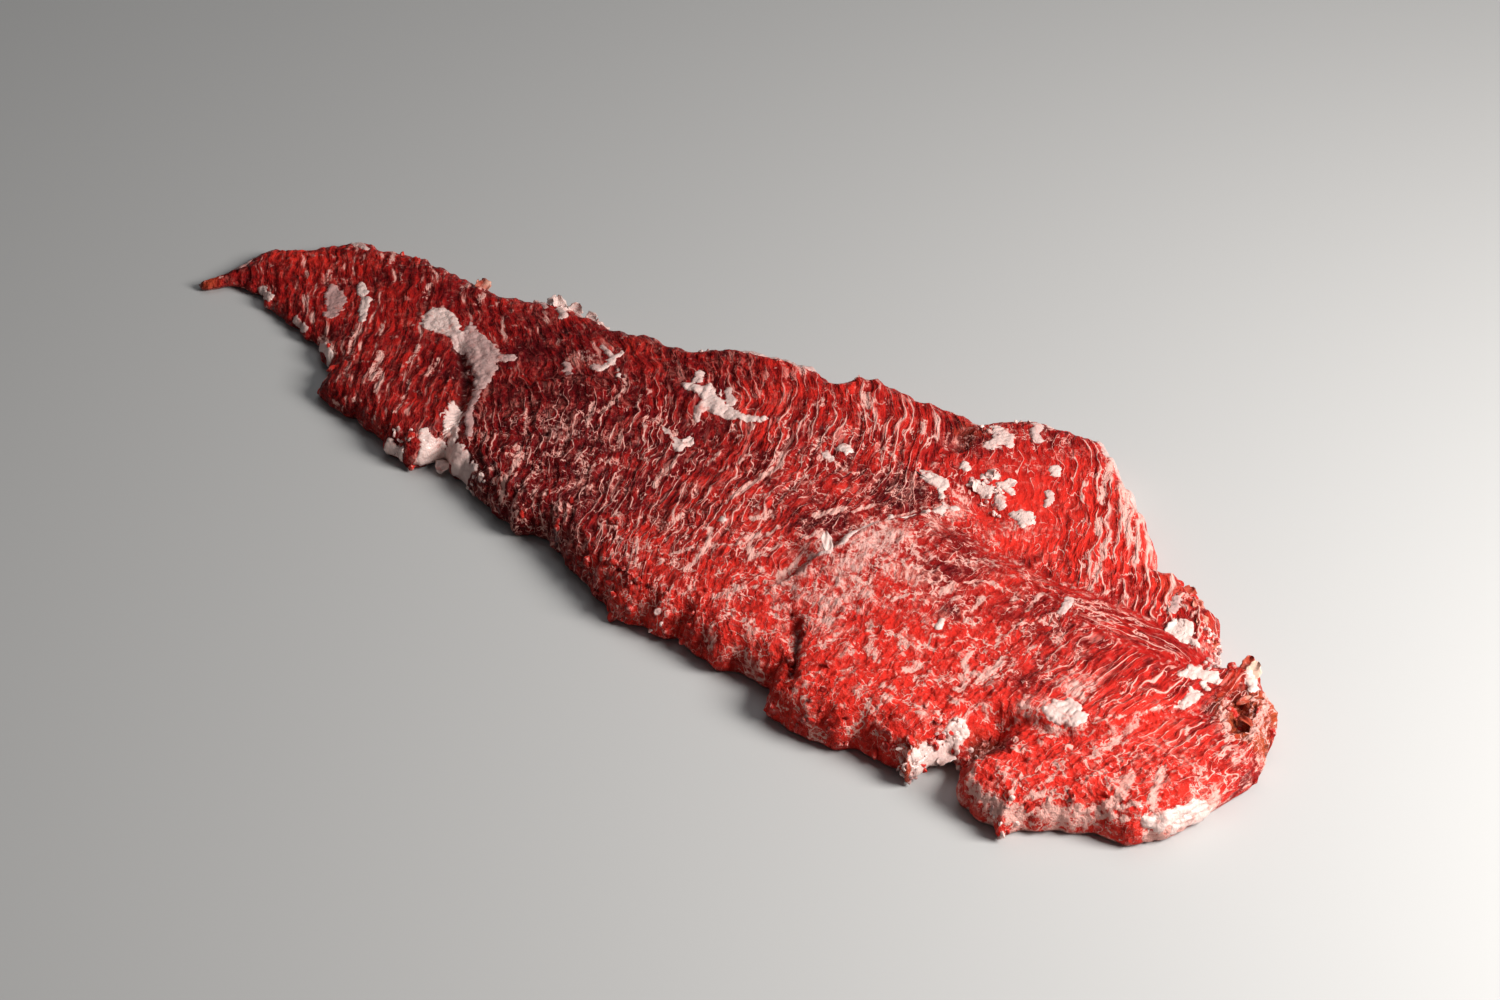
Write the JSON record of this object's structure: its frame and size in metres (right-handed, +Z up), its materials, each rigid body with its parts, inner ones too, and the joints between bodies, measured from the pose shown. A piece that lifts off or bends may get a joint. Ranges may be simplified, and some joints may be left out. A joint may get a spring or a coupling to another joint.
{
  "type": "raw wagyu flank steak",
  "caption": "Raw marbled beef flank steak lying flat: a thin wedge of muscle with a pointed tail, folded overlapping muscles, a notched near edge and scraps of white fat.",
  "frame": {"origin": "middle of the length and width, at the height of the flat underside", "axes": "+X along the steak from the pointed tail to the wide end, +Y across it to the long plain edge, +Z up"},
  "size_m": [0.446, 0.1728, 0.0211],
  "materials": {
    "raw_beef": "moist raw marbled beef, satin with wet glints",
    "beef_fat": "cool white surface fat, waxy"
  },
  "bodies": {
    "root": {"steak": "raw_beef"}
  },
  "joints": []
}
